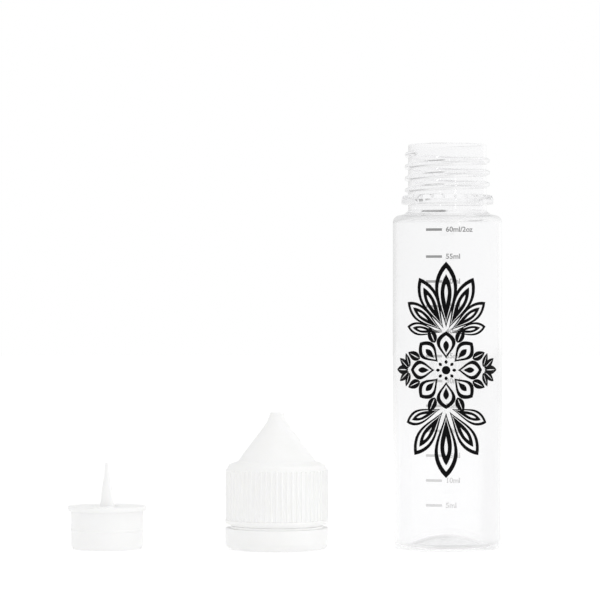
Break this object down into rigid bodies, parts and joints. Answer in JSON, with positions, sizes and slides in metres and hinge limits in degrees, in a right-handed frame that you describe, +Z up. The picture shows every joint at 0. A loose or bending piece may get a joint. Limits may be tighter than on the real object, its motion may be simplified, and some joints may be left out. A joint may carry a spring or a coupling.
{
  "type": "dropper bottle",
  "caption": "Slim clear dropper bottle with volume marks, shown open beside its ribbed push-and-turn cap with tear-off band and its press-in dropper tip.",
  "frame": {"origin": "on the plane that the three items stand on, under the middle of the row", "axes": "+Z up along the bottle's axis, +X along the row from the dropper tip past the cap to the bottle, -Y towards the printed front"},
  "size_m": [0.124, 0.0312, 0.1154],
  "materials": {
    "clear_pet": "clear, glossy",
    "soft_polyethylene": "milky, translucent, satin",
    "milky_polypropylene": "milky, translucent, satin"
  },
  "bodies": {
    "bottle": {"bottle": "clear_pet"},
    "dropper_tip": {"dropper_tip": "soft_polyethylene"},
    "tamper_band": {"tamper_band": "milky_polypropylene"},
    "inner_cap": {"inner_cap": "milky_polypropylene"},
    "outer_cap": {"outer_cap": "milky_polypropylene"}
  },
  "joints": [
    {"name": "tip_lift", "type": "slide", "parent": "bottle", "child": "dropper_tip", "axis": [0, 0, 1], "range_m": [0, 0.12]},
    {"name": "cap_lift", "type": "slide", "parent": "bottle", "child": "tamper_band", "axis": [0, 0, 1], "range_m": [0, 0.12]},
    {"name": "cap_turn", "type": "hinge", "parent": "tamper_band", "child": "inner_cap", "pos_m": [-0.0023, 0, 0], "axis": [0, 0, 1], "continuous": true},
    {"name": "cap_push", "type": "slide", "parent": "inner_cap", "child": "outer_cap", "axis": [0, 0, -1], "range_m": [0, 0.001], "stiffness_N_per_m": 5000}
  ]
}
